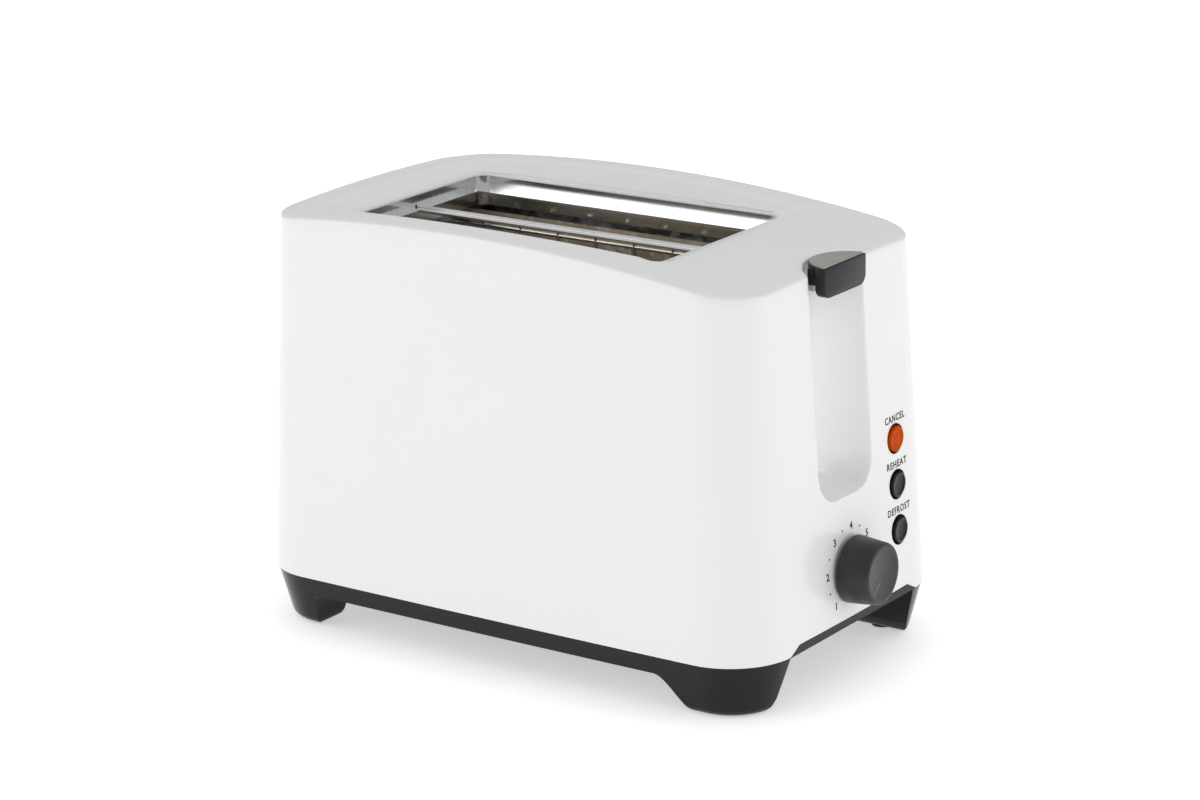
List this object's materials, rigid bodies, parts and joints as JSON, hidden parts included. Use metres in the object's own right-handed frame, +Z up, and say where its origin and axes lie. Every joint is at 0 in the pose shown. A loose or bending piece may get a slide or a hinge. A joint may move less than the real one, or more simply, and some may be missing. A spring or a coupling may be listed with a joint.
{
  "type": "pop up toaster",
  "caption": "Two-slot pop up toaster with arched white shell, dark footed base, end lever in a scooped channel, push keys and browning knob.",
  "frame": {"origin": "on the resting surface, below the middle of the outline, knob included", "axes": "+Z up, +X along the length towards the lever end, +Y across, towards the side that carries the push keys"},
  "size_m": [0.2741, 0.1558, 0.1854],
  "materials": {
    "white_plastic": "gloss white moulded shell",
    "dark_plastic": "near black gloss moulding",
    "pad_rubber": "soft grey-black",
    "screw_steel": "zinc plated",
    "bright_steel": "bright rolled sheet",
    "plated_steel": "galvanised sheet",
    "mica": "speckled mica board",
    "ribbon": "oxidised resistance ribbon",
    "guard_wire": "plated wire",
    "spring_steel": "drawn spring wire",
    "lever_plastic": "satin dark grey",
    "lever_metal": "brushed warm grey metal",
    "knob_plastic": "fine satin dark grey",
    "button_plastic": "gloss black",
    "amber_plastic": "translucent amber",
    "board_laminate": "paper laminate",
    "component_black": "moulded black",
    "copper_wire": "enamelled copper wire",
    "bobbin_nylon": "natural nylon"
  },
  "bodies": {
    "housing": {"outer_shell": "white_plastic", "base": "dark_plastic", "foot_pads": "pad_rubber", "base_screws": "screw_steel", "cord_gland": "dark_plastic", "terminal_block": "bobbin_nylon", "slot_frame": "bright_steel", "front_chassis_plate": "plated_steel", "rear_chassis_plate": "plated_steel", "left_heat_shield": "plated_steel", "right_heat_shield": "plated_steel", "left_heater_board": "mica", "left_heating_ribbon": "ribbon", "centre_heater_board": "mica", "centre_heating_ribbon": "ribbon", "right_heater_board": "mica", "right_heating_ribbon": "ribbon", "left_outer_guard": "guard_wire", "left_inner_guard": "guard_wire", "right_inner_guard": "guard_wire", "right_outer_guard": "guard_wire", "guide_rod": "guard_wire", "lower_rod_bracket": "plated_steel", "upper_rod_bracket": "plated_steel", "carriage_spring": "spring_steel", "magnet_core": "screw_steel", "magnet_coil": "copper_wire", "magnet_bobbin": "bobbin_nylon", "circuit_board": "board_laminate", "board_components": "component_black", "button_switches": "component_black", "browning_control": "component_black", "button_rings": "button_plastic", "tray_rails": "plated_steel"},
    "bread_lift": {"carriage": "plated_steel", "left_bread_rack": "plated_steel", "right_bread_rack": "plated_steel", "lever_knob": "lever_plastic", "lever_pad": "lever_metal", "lever_arm": "plated_steel", "magnet_keeper": "screw_steel"},
    "knob": {"browning_knob": "knob_plastic", "knob_shaft": "bobbin_nylon"},
    "cancel_key": {"cancel_button": "amber_plastic"},
    "reheat_key": {"reheat_button": "button_plastic"},
    "defrost_key": {"defrost_button": "button_plastic"},
    "tray": {"crumb_tray": "bright_steel"}
  },
  "joints": [
    {"name": "lift_slide", "type": "slide", "parent": "housing", "child": "bread_lift", "axis": [0, 0, -1], "range_m": [0, 0.08], "stiffness_N_per_m": 60, "springref_m": -0.035, "deforming": ["carriage_spring"]},
    {"name": "browning_turn", "type": "hinge", "parent": "housing", "child": "knob", "pos_m": [0.1216, -0.002, 0.0478], "axis": [-1, 0, 0], "range_deg": [0, 186]},
    {"name": "cancel_press", "type": "slide", "parent": "housing", "child": "cancel_key", "axis": [-1, 0, 0], "range_m": [0, 0.0012], "stiffness_N_per_m": 600, "springref_m": -0.0008},
    {"name": "reheat_press", "type": "slide", "parent": "housing", "child": "reheat_key", "axis": [-1, 0, 0], "range_m": [0, 0.0012], "stiffness_N_per_m": 600, "springref_m": -0.0008},
    {"name": "defrost_press", "type": "slide", "parent": "housing", "child": "defrost_key", "axis": [-1, 0, 0], "range_m": [0, 0.0012], "stiffness_N_per_m": 600, "springref_m": -0.0008},
    {"name": "tray_slide", "type": "slide", "parent": "housing", "child": "tray", "axis": [-1, 0, 0], "range_m": [0, 0.17]}
  ]
}
